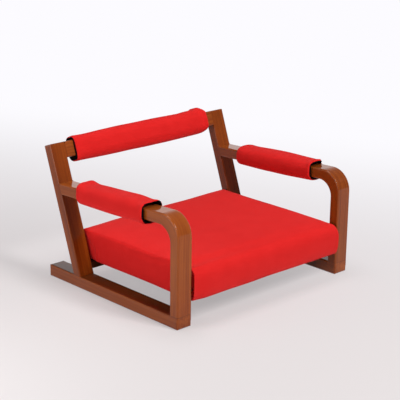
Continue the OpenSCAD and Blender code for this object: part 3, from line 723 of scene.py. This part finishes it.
def shape_seat(points, flat_count):
    """Works the folds that the upholsterer's hands leave into the cushion.

    x, y and z are millimetres, from the chair's middle, the front of its legs and the floor."""
    p = points.copy()
    x, y, z = (p[:, k] / MM for k in range(3))
    y = y - FRONT / MM
    lifted = np.arange(len(p)) >= flat_count
    upper = smooth(96, 136, z)
    side = np.sign(x)
    near_side = smooth(225, 250, np.abs(x)) * lifted
    # The left edge is sat down a little behind its front third, the right one stands full
    p[:, 2] -= LEFT_SAG * upper * smooth(80, 250, -x) * smooth(60, 150, y) * MM
    p[:, 2] += RIGHT_RISE * upper * smooth(80, 230, x) * smooth(60, 150, y) * MM
    # A soft dip behind the front roll, deeper on the left, with short wrinkles across it
    on_top = smooth(120, 136, z)
    leftness = smooth(120, -230, x)
    dip_at = 28 - 6 * smooth(-260, 60, x)
    dip = (DIP + LEFT_DIP * leftness) * hump(y - dip_at, 14) - leftness * hump(y - dip_at + 22, 11)
    short = WRINKLE * np.sin((x + 0.5 * y) * 2 * math.pi / WRINKLE_PITCH)
    short *= hump(y - dip_at + 2, 8) * hump(x + 150, 70)
    p[:, 2] -= on_top * (dip + short) * MM
    # The cover is drawn tight along the sides, with a crease where top and side meet
    crease_at = 135 + 7 * (1 - smooth(70, 170, y)) - 3 * (side > 0)
    ridge = SIDE_RIDGE * (hump(z - crease_at, 4) - hump(z - crease_at + 9, 5))
    along_side = smooth(20, 60, y) * (1 - smooth(330, 370, y)) * (0.6 + 0.5 * (1 - smooth(170, 230, y)))
    p[:, 0] += side * near_side * along_side * ridge * MM
    p[:, 2] += near_side * along_side * 0.5 * ridge * MM
    pinch = hump(np.hypot(y - 238 - 0.4 * (z - 134), 0.35 * (z - 133)), 3.0)
    p[:, 0] += side * near_side * PINCH * pinch * MM
    # Beside each post the cover is folded to pass between the posts: a flap with a slanting edge
    past_fold = y - (357 + 1.27 * np.maximum(z - 97, 0))
    tuck = FLAP_TUCK * smooth(-1, 9, past_fold) - FLAP_CREASE * hump(past_fold + 1.5, 2.2)
    tuck += FLAP_SWELL * hump(past_fold + 7, 3)
    p[:, 0] -= side * near_side * tuck * (1 - smooth(130, 140, z)) * MM
    # The front corners are pulled in behind a sharp fold, clear of the legs, the left one further
    p[:, 1] += smooth(205, 252, -x) * LEFT_CORNER_SETBACK * (1 - smooth(-2, 14, y)) * MM
    waist = smooth(66, 82, z) * (1 - smooth(118, 134, z))
    hollow = CORNER_HOLLOW + FOLD_HOLLOW * (1 - smooth(0, 5, y))
    hollow *= smooth(1.6, 3.6, y - front_at(z)) * (1 - smooth(18, 34, y))
    p[:, 0] -= side * smooth(238, 250, np.abs(x)) * waist * hollow * MM
    # Unevenness of hand-pulled cloth over foam
    broad = ripple(p, 0.075, 1)
    fine = ripple(p, 0.022, 2)
    centre = np.array([0.0, (SEAT_FRONT + SEAT_BACK) / 2, SEAT_BOTTOM + SEAT_T / 2])
    away = (p - centre) / np.array([SEAT_HALF, (SEAT_BACK - SEAT_FRONT) / 2, SEAT_T / 2])
    away = np.sign(away) * np.abs(away) ** 6
    away /= np.maximum(np.linalg.norm(away, axis=1, keepdims=True), 1e-9)
    p += away * ((BROAD_WAVES * broad + FINE_WAVES * fine) * lifted * MM)[:, None]
    # Nothing stands through the wood beside it or below the underside
    p[:, 0] = np.clip(p[:, 0], -SEAT_HALF, SEAT_HALF)
    p[:, 2] = np.maximum(p[:, 2], SEAT_BOTTOM)
    return p


seat_cushion()


# Sleeves

SLEEVE_GAP = 0.4 * MM
SLEEVE_CLOTH = 1.2 * MM
CLOTH_PLAY = 0.05 * MM
SLEEVE_POINTS = 96
SLEEVE_CELL = 5 * MM
SLEEVE_ENDS_DENSE = [(0.0, 0.06, 2.0), (0.94, 1.0, 2.0)]
SLEEVE_PRESSURE = 2.5
SLEEVE_GIVE = 1.2 * MM
END_SHARE = 0.86
SWELL = 0.6
BORE_STEPS = 24
ROUNDNESS = 3.0
CUT_REACH = 20 * MM
MOUTH_REACH = 26 * MM
FOLD_REACH = 30 * MM
LIP = 1.3 * MM
LIP_STEPS = 7
LIP_FULLNESS = 0.7
CURL = 2.2 * MM
CURL_REACH = 2.4 * MM
SLACK_WAVES = 0.9 * MM
FOLDS = 0.25 * MM
END_FOLDS = 0.5 * MM
RIM_WAVES = 0.8 * MM


def sleeve_section(half_w, half_d):
    """Points round the wood's rounded section and the outward direction at each."""
    spread_r = 10 * MM
    in_w, in_d = half_w - EDGE_R, half_d - EDGE_R
    centres = [(in_w, in_d), (-in_w, in_d), (-in_w, -in_d), (in_w, -in_d)]
    path, ways = [], []
    for k, centre in enumerate(centres):
        for turn in np.linspace(90 * k, 90 * k + 90, 25):
            way = heading(math.radians(turn))
            path.append(np.array(centre) + spread_r * way)
            ways.append(way)
    path, ways = np.array(path + path[:1]), np.array(ways + ways[:1])
    lengths = np.concatenate([[0], np.cumsum(np.linalg.norm(np.diff(path, axis=0), axis=1))])
    at = np.linspace(0, lengths[-1], SLEEVE_POINTS, endpoint=False)
    outer = np.column_stack([np.interp(at, lengths, path[:, k]) for k in range(2)])
    way = np.column_stack([np.interp(at, lengths, ways[:, k]) for k in range(2)])
    way /= np.linalg.norm(way, axis=1, keepdims=True)
    return outer - (spread_r - EDGE_R) * way, way


def toward(way, direction, sharpness):
    """1 where an outward direction agrees with the given one, falling off to the sides."""
    wanted = np.array(direction, float)
    return np.maximum(way @ (wanted / np.linalg.norm(wanted)), 0) ** sharpness


def push_out(rings, way, amount):
    """Moves the points of rings along their outward directions."""
    rings[:, :, :2] += way[None] * amount[:, :, None]


def stuffed_rings(base, way, at, half, pad, hang, ends):
    """The rings of a padded cover, with the bumps and the drawn-back rims of its two ends."""
    length = at[-1]
    full = pad * (END_SHARE + (1 - END_SHARE) * np.sin(np.pi * at / length) ** SWELL)
    offset = (SLEEVE_GAP + SLEEVE_CLOTH + full)[:, None, None]
    rings = np.zeros((len(at), SLEEVE_POINTS, 3))
    rings[:, :, :2] = base[None] + way[None] * offset
    rings[:, :, 2] = at[:, None]
    # Soft padding rounds off into a fuller curve than the wood's section
    reach = np.array(half)[None, None] + offset
    squareness = (np.abs(rings[:, :, :2] / reach) ** ROUNDNESS).sum(2) ** (1 / ROUNDNESS)
    rings[:, :, :2] /= squareness[:, :, None]
    rings[:, :, 0] += hang
    for from_end, end, inward in zip((at, length - at), ends, (1, -1)):
        for direction, rise, sharpness, spot, width in end["bumps"]:
            lift = rise * MM * hump(from_end - spot * MM, width * MM)
            push_out(rings, way, lift[:, None] * toward(way, direction, sharpness)[None])
        for direction, back, sharpness in end["cut"]:
            drawn = back * MM * hump(from_end, CUT_REACH)
            rings[:, :, 2] += inward * drawn[:, None] * toward(way, direction, sharpness)[None]
    return rings


def wear_sleeve(rings, way, at, room, seed):
    """Slack and hand wear: long shallow waves, folds that fan in from the ends, and rolled-in rims."""
    length = at[-1]
    flat = rings.reshape(-1, 3)
    broad = ripple(flat * np.array([1, 1, 0.7]), 0.05, seed).reshape(rings.shape[:2])
    fold = ripple(flat * np.array([2.2, 2.2, 0.5]), 0.03, seed + 3).reshape(rings.shape[:2])
    near_end = hump(at, FOLD_REACH) + hump(at - length, FOLD_REACH)
    push_out(rings, way, SLACK_WAVES * broad + (FOLDS + END_FOLDS * near_end[:, None]) * fold)
    rings[[0, -1], :, 2] += RIM_WAVES * broad[[0, -1]]
    rings[:, :, 2] = np.clip(rings[:, :, 2], -room + 0.6 * LIP, length + room - 0.6 * LIP)
    curl = CURL * (hump(at, CURL_REACH) + hump(length - at, CURL_REACH))
    push_out(rings, way, -curl[:, None])


def liner_rings(cover, base, way, length, room, ends):
    """The liner's rings: under the cover, over a soft lip at each end and back along the wood."""
    inner = cover.copy()
    inner[:, :, :2] -= way[None] * (SLEEVE_CLOTH + CLOTH_PLAY)
    bore_at = np.linspace(0, length, BORE_STEPS)
    slack = np.full((BORE_STEPS, SLEEVE_POINTS), SLEEVE_GAP)
    for from_end, end in zip((bore_at, length - bore_at), ends):
        for direction, gap, sharpness in end["mouth"]:
            opened = gap * MM * hump(from_end, MOUTH_REACH)
            slack += opened[:, None] * toward(way, direction, sharpness)[None]
    bore = np.zeros((BORE_STEPS, SLEEVE_POINTS, 3))
    bore[:, :, :2] = base[None] + way[None] * slack[:, :, None]
    bore[:, :, 2] = bore_at[:, None]
    bore[[0, -1], :, 2] = cover[[0, -1], :, 2]
    lips = []
    for end, outward in ((-1, 1), (0, -1)):
        middle, half = (inner[end] + bore[end]) / 2, (inner[end] - bore[end]) / 2
        lip = []
        for turn in np.linspace(0, math.pi, LIP_STEPS + 2)[1:-1]:
            ring = middle + half * math.cos(turn)
            ring[:, 2] += outward * LIP * math.sin(turn) ** LIP_FULLNESS
            lip.append(ring)
        lips.append(np.array(lip if end == -1 else lip[::-1]))
    loop = np.concatenate([inner, lips[0], bore[::-1], lips[1]])
    loop[:, :, 2] = np.clip(loop[:, :, 2], -room, length + room)
    return loop


def dress_sleeve(piece, place, node, slot, body):
    """Puts a part of a sleeve in its place on the wood, hides the imported part that it replaces and
    hangs it under its body.
    """
    piece.data.transform(place)
    if slot == "seat_fabric":
        thicken(piece, SLEEVE_CLOTH)
    soften(piece)
    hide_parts(node)
    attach(piece, body)


def sleeve(name, place, half, length, pad, hang, room, ends, seed):
    """A padded sleeve: a red cover over a black liner whose thick edge shows at both ends.

    place carries its own frame, with Z along the wood, into the chair's. half is half the wood's width
    and depth. hang moves the padding along X. room is how far the soft ends may stand out beyond the
    length. For each of the two ends, bumps says where it stands out, as (direction, millimetres out,
    sharpness, millimetres from the end, width), cut how far the rim is drawn back and mouth how far it
    stands off the wood, both as (direction, millimetres, sharpness)."""
    base, way = sleeve_section(*half)
    at = stations(length, SLEEVE_CELL, SLEEVE_ENDS_DENSE) * length
    rings = stuffed_rings(base, way, at, half, pad, hang, ends)
    faces = wall_faces(SLEEVE_POINTS, len(at))
    rims = [*range(SLEEVE_POINTS), *range((len(at) - 1) * SLEEVE_POINTS, len(at) * SLEEVE_POINTS)]
    blown = inflate(rings.reshape(-1, 3), faces, rims, SLEEVE_PRESSURE, SLEEVE_GIVE)
    rings = blown.reshape(rings.shape)
    wear_sleeve(rings, way, at, room, seed)
    body = name + "_sleeve"
    cloth = ring_cloth(rings)
    cover = new_piece(body + "_cloth", rings.reshape(-1, 3), faces, red_canvas, cloth)
    dress_sleeve(cover, place, body + "_cover", "seat_fabric", body)
    loop = liner_rings(rings, base, way, length, room, ends)
    faces = wall_faces(SLEEVE_POINTS, len(loop), closed=True)
    cloth = ring_cloth(np.concatenate([loop, loop[:1]]))
    liner = new_piece(body + "_padding", loop.reshape(-1, 3), faces, black_lining, cloth)
    dress_sleeve(liner, place, body + "_liner", "lining", body)


def arm_place(side, start_mm):
    """The frame of an arm sleeve: Z along the arm from its front end, Y down from the arm's middle."""
    slope_sin, slope_cos = math.sin(ARM_SLOPE), math.cos(ARM_SLOPE)
    along = (start_mm * MM - BEND_OUT * (1 + slope_sin)) / slope_cos
    arm_start = (side * SIDE_X, BEND_Y + BEND_OUT * slope_sin, BEND_Z + BEND_OUT * slope_cos)
    turn = Matrix.Rotation(-ARM_SLOPE - QUARTER, 4, "X")
    return Matrix.Translation(arm_start) @ turn @ Matrix.Translation((0, ARM_D / 2, along))


POST_L = 340 * MM
RAIL_H = 41 * MM
RAIL_D = 24 * MM
BARE_LEFT = 26 * MM
BARE_RIGHT = 33 * MM
back_place = (
    Matrix.Translation((0, POST_FOOT, RUNNER_TOP))
    @ Matrix.Rotation(-LEAN, 4, "X")
    @ Matrix.Translation((BARE_LEFT - INNER_X, RAIL_D / 2, POST_L - RAIL_H / 2))
    @ Matrix.Rotation(QUARTER, 4, "Y")
)
BACK_LENGTH = 2 * INNER_X - BARE_LEFT - BARE_RIGHT
BACK_PAD = 11.5 * MM
BACK_HANG = 2 * MM
BACK_ROOM = 0.8 * MM
ARM_PAD = 10 * MM
ARM_ROOM = 6 * MM

# Directions across the back rail: X points down the post and Y to the rear. The left end comes first.
BACK_LEFT_END = {
    "bumps": [
        ((-0.9, 0.4), 1.5, 4, 4, 14),
        ((0.7, -0.7), 1.0, 3, 0, 20),
        ((-0.1, -1), -3.5, 2, 0, 14),
        ((-1, 0.2), -1.5, 2, 40, 50),
    ],
    "cut": [],
    "mouth": [((-1, 0), 4.0, 2), ((0, 1), 4.0, 2)],
}
BACK_RIGHT_END = {
    "bumps": [
        ((-0.85, 0.5), 7.5, 2.5, 11, 12),
        ((-0.9, -0.2), -1.5, 3, 0, 8),
        ((-0.85, 0.5), 4.5, 2, 34, 32),
        ((-0.2, -1), 8.5, 2, 0, 13),
        ((0.7, -0.4), -2.5, 2, 0, 12),
    ],
    "cut": [((0.9, 0.2), 3.0, 3)],
    "mouth": [((-1, 0), 3.0, 2), ((0, 1), 3.0, 2)],
}
# Directions across an arm: X points to the right and Y down. The front end comes first.
LEFT_FRONT_END = {
    "bumps": [
        ((0.6, -0.8), 3.0, 5, 0, 15),
        ((-0.5, -0.85), 3.5, 4, 0, 12),
        ((-0.4, 0.9), 3.5, 3, 0, 18),
        ((0.1, -1), 2.0, 2, 60, 30),
        ((0.1, -1), 2.2, 2, 123, 110),
        ((0.0, 1), 2.0, 2, 123, 90),
    ],
    "cut": [((-0.8, -0.3), 4.5, 2), ((0.8, -0.2), -1.0, 2)],
    "mouth": [((0.1, -1), 11.0, 2), ((-1, 0), 3.0, 2), ((0, 1), 4.5, 2)],
}
LEFT_REAR_END = {
    "bumps": [((0.0, -1), 6.5, 3, 1, 18), ((-0.75, -0.65), 3.0, 5, 0, 13)],
    "cut": [((-0.8, -0.3), -1.5, 2)],
    "mouth": [((0, -1), 6.0, 2), ((-1, 0), 3.0, 2)],
}
RIGHT_FRONT_END = {
    "bumps": [
        ((0.7, -0.7), -2.0, 4, 0, 16),
        ((-0.3, -0.95), 4.0, 3, 0, 14),
        ((0.1, -1), 2.2, 2, 134, 120),
        ((0.0, 1), 2.0, 2, 134, 100),
    ],
    "cut": [((-0.8, -0.3), 3.0, 2), ((0.85, -0.5), 11.0, 2)],
    "mouth": [((0, -1), 7.0, 2), ((-1, 0), 2.5, 2), ((0, 1), 1.5, 2)],
}
RIGHT_REAR_END = {
    "bumps": [((0.3, -0.95), 2.0, 3, 10, 16)],
    "cut": [],
    "mouth": [((0, -1), 4.0, 2), ((1, 0), 2.0, 2)],
}
back_ends = (BACK_LEFT_END, BACK_RIGHT_END)
rail_half = (RAIL_H / 2, RAIL_D / 2)
arm_half = (SIDE_T / 2, ARM_D / 2)
sleeve("back", back_place, rail_half, BACK_LENGTH, BACK_PAD, BACK_HANG, BACK_ROOM, back_ends, 11)
# Each arm sleeve starts at a distance behind the leg's front and has its own length, in millimetres
for side, name, start, length, ends, seed in (
    (-1, "left", 113, 246, (LEFT_FRONT_END, LEFT_REAR_END), 12),
    (1, "right", 93, 268, (RIGHT_FRONT_END, RIGHT_REAR_END), 13),
):
    sleeve(name, arm_place(side, start), arm_half, length * MM, ARM_PAD, 0, ARM_ROOM, ends, seed)


# Underside

DUST_CLOTH = 0.5 * MM
DUST_SAG = 1.1 * MM
DUST_PUCKER = 0.25 * MM
STAPLE_INSET = 7 * MM
STAPLE_SPACING = 38 * MM
STAPLE_CROWN = 10 * MM
STAPLE_LEG = 1.2 * MM
STAPLE_BEND = 0.3 * MM
WIRE = 0.45 * MM
PRESSED_IN = 0.1 * MM


def dust_cloth():
    """The thin black cloth that closes the underside, stapled round its edge and slack between."""
    low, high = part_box("dust_cover")
    x, y = np.meshgrid(np.linspace(low.x, high.x, 61), np.linspace(low.y, high.y, 51))
    inside = np.minimum(np.minimum(x - low.x, high.x - x), np.minimum(y - low.y, high.y - y))
    sag = DUST_SAG * smooth(0, 0.08, inside)
    pull = DUST_PUCKER * np.sin(x * 180) * np.sin(y * 170) * (1 - smooth(0, 0.03, inside))
    level = (low.z + high.z) / 2 - sag + pull
    points = np.column_stack([x.ravel(), y.ravel(), level.ravel()])
    faces = grid_faces(np.arange(x.size).reshape(x.shape).T)
    cloth = points[np.ravel(faces), :2]
    piece = new_piece("dust_cloth", points, faces, black_dust_cloth, cloth)
    thicken(piece, DUST_CLOTH)
    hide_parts("dust_cover")
    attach(piece, "chair")


def staples():
    """Wire staples round the dust cloth, each a bent wire pressed into the cloth."""
    low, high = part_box("dust_cover")
    sides_x = (low.x + STAPLE_INSET, high.x - STAPLE_INSET)
    sides_y = (low.y + STAPLE_INSET, high.y - STAPLE_INSET)
    spots = []
    for lines, (start, end), turned in ((sides_y, sides_x, False), (sides_x, sides_y, True)):
        number = round((end - start) / STAPLE_SPACING)
        places = [start + (k + 0.5) * (end - start) / number for k in range(number)]
        spots += [(line, along, turned) for line in lines for along in places]
    half = STAPLE_CROWN / 2
    flat_half = 0.88 * half
    profile = [(-half, STAPLE_LEG), (-half, STAPLE_BEND), (-flat_half, 0)]
    profile += [(flat_half, 0), (half, STAPLE_BEND), (half, STAPLE_LEG)]
    last = 4 * (len(profile) - 1)
    bar = wall_faces(4, len(profile)) + [(3, 2, 1, 0), (last, last + 1, last + 2, last + 3)]
    points, faces = [], []
    for line, along, turned in spots:
        faces += [[len(points) + k for k in face] for face in bar]
        for step, rise in profile:
            for side, lift in ((-WIRE, 0), (WIRE, 0), (WIRE, WIRE), (-WIRE, WIRE)):
                across, run = line + side, along + step
                x, y = (across, run) if turned else (run, across)
                points.append((x, y, low.z - PRESSED_IN + rise + lift))
    piece = new_piece("dust_cloth_staples", points, faces, zinc_steel)
    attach(piece, "chair")


dust_cloth()
staples()


# Studio

ROOM_FRONT = 0.07
ROOM_BACK = 0.18
DIM_ROOM = 0.22
FLOOR_COLOUR = colour(0.77, 0.735, 0.735)
FLOOR_NEAR = colour(0.72, 0.67, 0.675)
FLOOR_FAR = colour(0.975, 0.965, 1.0)
FLOOR_LIFT = 0.5
FLOOR_AHEAD = (0.88, 0.47, 0.0)
FLOOR_HALF = 30.0
# Each soft lamp's place, target, width, height and power
LAMPS = {
    "key_lamp": ((0.15, -2.3, 2.4), (0, 0, 0.1), 0.8, 1.4, 80),
    "left_lamp": ((-1.0, 0.0, 0.4), (0, 0, 0.15), 0.9, 0.5, 3.2),
    "top_lamp": ((0.0, 0.3, 2.6), (0, 0, 0.1), 1.0, 1.0, 23),
}
# The camera that the photograph's corners agree with
PHOTO_YAW = 0.7623
PHOTO_PITCH = 0.3022
PHOTO_ROLL = 0.0135
PHOTO_PLACE = (-2.13459, FRONT - 1.98767, 1.16387)
PHOTO_LENS = 114.072
PHOTO_SHIFT = (0.0027, -0.0025)


def studio_floor():
    """A pale floor that lifts its own shadow a little and fades into the white backdrop."""
    plain = {"Roughness": 0.7, "Specular IOR Level": 0.1, "Base Color": FLOOR_COLOUR}
    made, tree, bsdf = new_material("studio_floor", **plain)
    place = add(tree, "TexCoord").outputs["Object"]
    ahead = vector_calc(tree, "DOT_PRODUCT", place, FLOOR_AHEAD)
    away = vector_calc(tree, "LENGTH", place)
    paler = []
    for value, low, high in ((ahead, -0.6, 1.6), (away, 0.9, 2.2)):
        fade = add(tree, "MapRange", {0: value, 1: low, 2: high}, interpolation_type="SMOOTHSTEP")
        paler.append(fade.outputs[0])
    depth = calc(tree, "MAXIMUM", *paler)
    tone = mixed(tree, depth, FLOOR_NEAR, FLOOR_FAR)
    white = add(tree, "Emission", {"Color": tone, "Strength": 1.0})
    share = spread(tree, depth, 0.0, 1.0, FLOOR_LIFT, 1.0)
    share = calc(tree, "MULTIPLY", seen_directly(tree), share)
    blend = add(tree, "MixShader", {0: share, 1: bsdf.outputs[0], 2: white.outputs[0]})
    end = next(n for n in tree.nodes if n.type == "OUTPUT_MATERIAL")
    tree.links.new(blend.outputs[0], end.inputs[0])
    corners = [(FLOOR_HALF * x, FLOOR_HALF * y, 0) for x, y in ((-1, -1), (1, -1), (1, 1), (-1, 1))]
    new_piece("studio_floor", corners, [(0, 1, 2, 3)], made)


def seen_directly(tree):
    """1 for rays from the camera and for what mirrors and glass show of the studio."""
    path = add(tree, "LightPath").outputs
    seen = calc(tree, "MAXIMUM", path["Is Camera Ray"], path["Is Transmission Ray"])
    return calc(tree, "MAXIMUM", seen, path["Is Glossy Ray"])


def studio_light():
    """A dim room with a bright backdrop behind the chair, and soft lamps: key, low left and above."""
    world = bpy.data.worlds.new("studio")
    world.use_nodes = True
    tree = world.node_tree
    tree.nodes.clear()
    way = add(tree, "TexCoord").outputs["Generated"]
    parts = add(tree, "SeparateXYZ", {0: way}).outputs
    room = spread(tree, parts[1], -0.2, 0.7, ROOM_FRONT, ROOM_BACK)
    # What lacquer mirrors: the white backdrop, and the dim room above and in front of the chair
    ceiling = spread(tree, parts[2], 0.2, 0.6)
    front = spread(tree, parts[1], -0.15, -0.55)
    mirrored = spread(tree, calc(tree, "MAXIMUM", ceiling, front), 0.0, 1.0, 1.0, DIM_ROOM)
    strength = add(tree, "Mix", {0: seen_directly(tree), 2: room, 3: mirrored}).outputs[0]
    back = add(tree, "Background", {"Color": colour(1, 1, 1), "Strength": strength})
    end = tree.nodes.new("ShaderNodeOutputWorld")
    tree.links.new(back.outputs[0], end.inputs[0])
    bpy.context.scene.world = world
    for name, (place, target, width, height, power) in LAMPS.items():
        lamp = bpy.data.lights.new(name, "AREA")
        lamp.shape = "RECTANGLE"
        lamp.size, lamp.size_y = width, height
        lamp.energy = power
        holder = new_object(name, lamp)
        holder.location = place
        holder.rotation_euler = (Vector(target) - Vector(place)).to_track_quat("-Z", "Y").to_euler()
        holder.visible_camera = False


def camera():
    """The photograph's view."""
    eye = bpy.data.cameras.new("camera")
    eye.lens = PHOTO_LENS
    eye.sensor_width = 36
    eye.shift_x, eye.shift_y = PHOTO_SHIFT
    eye.clip_start, eye.clip_end = 0.05, 100
    holder = new_object("camera", eye)
    look = Matrix.Rotation(-PHOTO_YAW, 4, "Z") @ Matrix.Rotation(QUARTER - PHOTO_PITCH, 4, "X")
    roll = Matrix.Rotation(PHOTO_ROLL, 4, "Z")
    holder.matrix_world = Matrix.Translation(PHOTO_PLACE) @ look @ roll
    bpy.context.scene.camera = holder


studio_floor()
studio_light()
camera()
bpy.context.scene.view_settings.view_transform = "Standard"
